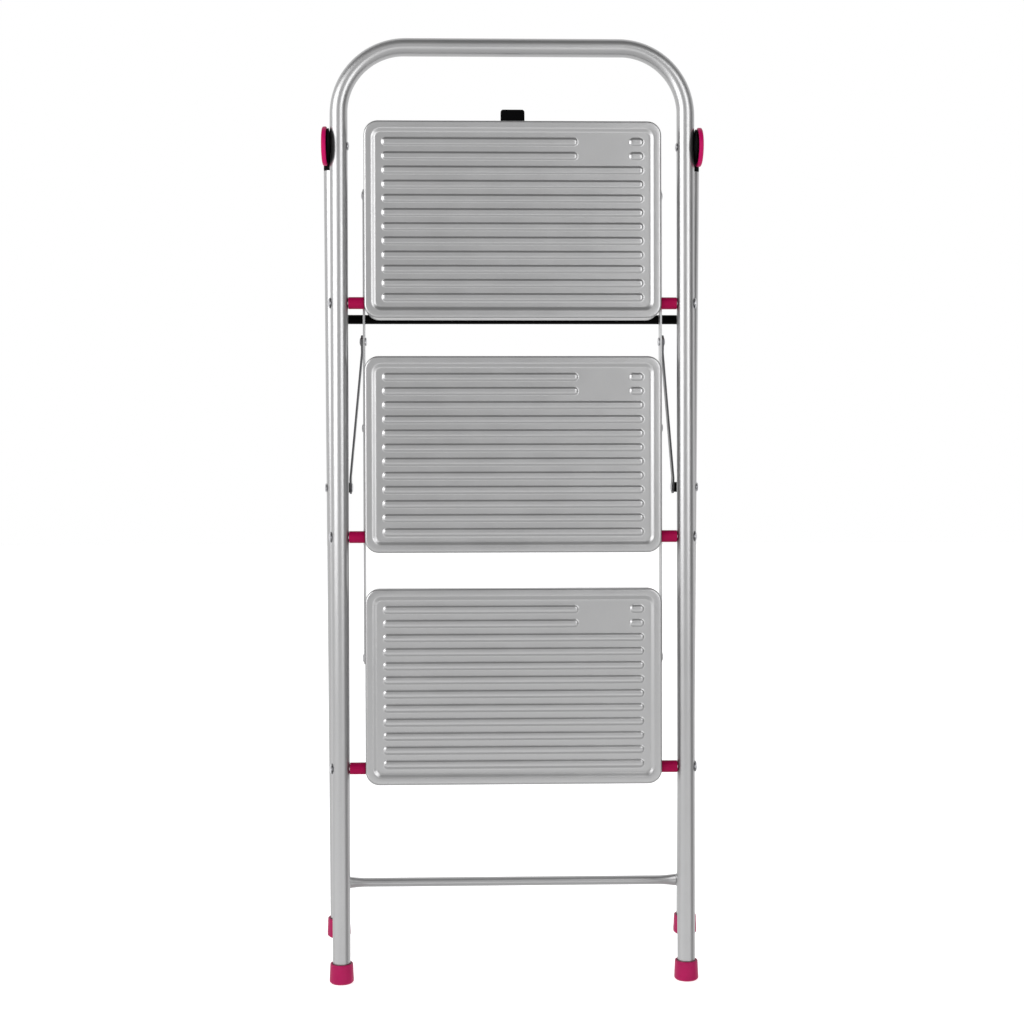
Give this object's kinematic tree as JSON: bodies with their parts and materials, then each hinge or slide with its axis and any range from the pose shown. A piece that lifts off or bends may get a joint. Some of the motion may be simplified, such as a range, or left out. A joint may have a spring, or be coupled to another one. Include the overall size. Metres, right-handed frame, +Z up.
{
  "type": "step stool",
  "caption": "Folding steel step stool with a tubular front frame and carrying handle, pressed ribbed treads on a parallel linkage, a rear support frame and rubber feet, shown folded.",
  "frame": {"origin": "centre of the folded stool's footprint, on the floor under the front feet", "axes": "+Z up along the front frame, +X to the right when facing the treads, +Y from the front frame towards the rear frame"},
  "size_m": [0.414, 0.1086, 1.01],
  "materials": {
    "silver_paint": "silver grey metallic paint, satin",
    "dark_steel": "dark grey, satin",
    "bright_steel": "zinc plated",
    "pink_plastic": "moulded, soft gloss",
    "pink_rubber": "moulded, matt",
    "black_plastic": "moulded, fine matt grain"
  },
  "bodies": {
    "front_frame": {"front_tube": "silver_paint", "front_foot_left": "pink_rubber", "front_foot_right": "pink_rubber", "hinge_rivet_left": "bright_steel", "hinge_rivet_right": "bright_steel", "hinge_saddle_left": "black_plastic", "hinge_saddle_right": "black_plastic", "tread_bolt_top_left": "bright_steel", "tread_bolt_top_right": "bright_steel", "tread_bolt_middle_left": "bright_steel", "tread_bolt_middle_right": "bright_steel", "tread_bolt_bottom_left": "bright_steel", "tread_bolt_bottom_right": "bright_steel", "tread_nut_top_left": "bright_steel", "tread_nut_top_right": "bright_steel", "tread_nut_middle_left": "bright_steel", "tread_nut_middle_right": "bright_steel", "tread_nut_bottom_left": "bright_steel", "tread_nut_bottom_right": "bright_steel", "spacer_top_left": "pink_plastic", "spacer_top_right": "pink_plastic", "spacer_middle_left": "pink_plastic", "spacer_middle_right": "pink_plastic", "spacer_bottom_left": "pink_plastic", "spacer_bottom_right": "pink_plastic"},
    "rear_frame": {"rear_leg_left": "silver_paint", "rear_leg_right": "silver_paint", "rear_foot_left": "pink_rubber", "rear_foot_right": "pink_rubber", "hinge_bracket_left": "black_plastic", "hinge_bracket_right": "black_plastic", "hinge_cap_left": "pink_plastic", "hinge_cap_right": "pink_plastic", "brace_pin_left": "bright_steel", "brace_pin_right": "bright_steel", "brace_bush_left": "black_plastic", "brace_bush_right": "black_plastic", "upper_crossbar": "black_plastic", "lower_crossbar": "silver_paint"},
    "top_tread": {"tread_top": "silver_paint", "latch_bracket": "silver_paint", "latch_pin": "bright_steel"},
    "middle_tread": {"tread_middle": "silver_paint"},
    "bottom_tread": {"tread_bottom": "silver_paint"},
    "left_link": {"link_bar_left": "silver_paint", "brace_stud_left": "bright_steel", "link_rivet_top_left": "bright_steel", "link_rivet_middle_left": "bright_steel", "link_rivet_bottom_left": "bright_steel"},
    "right_link": {"link_bar_right": "silver_paint", "brace_stud_right": "bright_steel", "link_rivet_top_right": "bright_steel", "link_rivet_middle_right": "bright_steel", "link_rivet_bottom_right": "bright_steel"},
    "left_brace": {"brace_bar_left": "dark_steel", "brace_rivet_left": "bright_steel"},
    "right_brace": {"brace_bar_right": "dark_steel", "brace_rivet_right": "bright_steel"},
    "platform_latch": {"latch_lever": "black_plastic"}
  },
  "joints": [
    {"name": "rear_fold", "type": "hinge", "parent": "front_frame", "child": "rear_frame", "pos_m": [0, -0.03762, 0.895], "axis": [1, 0, 0], "range_deg": [0, 40]},
    {"name": "top_tread_fold", "type": "hinge", "parent": "front_frame", "child": "top_tread", "pos_m": [0, -0.03762, 0.728], "axis": [1, 0, 0], "range_deg": [-66, 0]},
    {"name": "middle_tread_fold", "type": "hinge", "parent": "front_frame", "child": "middle_tread", "pos_m": [0, -0.03762, 0.478], "axis": [1, 0, 0], "range_deg": [-66, 0]},
    {"name": "bottom_tread_fold", "type": "hinge", "parent": "front_frame", "child": "bottom_tread", "pos_m": [0, -0.03762, 0.23], "axis": [1, 0, 0], "range_deg": [-66, 0]},
    {"name": "left_link_swing", "type": "hinge", "parent": "top_tread", "child": "left_link", "pos_m": [0, -0.02362, 0.845], "axis": [1, 0, 0], "range_deg": [0, 66]},
    {"name": "right_link_swing", "type": "hinge", "parent": "top_tread", "child": "right_link", "pos_m": [0, -0.02362, 0.845], "axis": [1, 0, 0], "range_deg": [0, 66]},
    {"name": "left_brace_swing", "type": "hinge", "parent": "rear_frame", "child": "left_brace", "pos_m": [0, 0.007, 0.531], "axis": [1, 0, 0], "range_deg": [0, 52.9]},
    {"name": "right_brace_swing", "type": "hinge", "parent": "rear_frame", "child": "right_brace", "pos_m": [0, 0.007, 0.531], "axis": [1, 0, 0], "range_deg": [0, 52.9]},
    {"name": "latch_lift", "type": "hinge", "parent": "top_tread", "child": "platform_latch", "pos_m": [0, -0.03662, 0.904], "axis": [1, 0, 0], "range_deg": [0, 12], "stiffness_Nm_per_rad": 0.08, "springref_deg": -34.38}
  ],
  "couplings": [
    {"joint": "top_tread_fold", "follows": "rear_fold", "ratio": -1.65},
    {"joint": "middle_tread_fold", "follows": "rear_fold", "ratio": -1.65},
    {"joint": "bottom_tread_fold", "follows": "rear_fold", "ratio": -1.65},
    {"joint": "left_link_swing", "follows": "rear_fold", "ratio": 1.65},
    {"joint": "right_link_swing", "follows": "rear_fold", "ratio": 1.65},
    {"joint": "left_brace_swing", "follows": "rear_fold", "ratio": 1.3225},
    {"joint": "right_brace_swing", "follows": "rear_fold", "ratio": 1.3225}
  ]
}
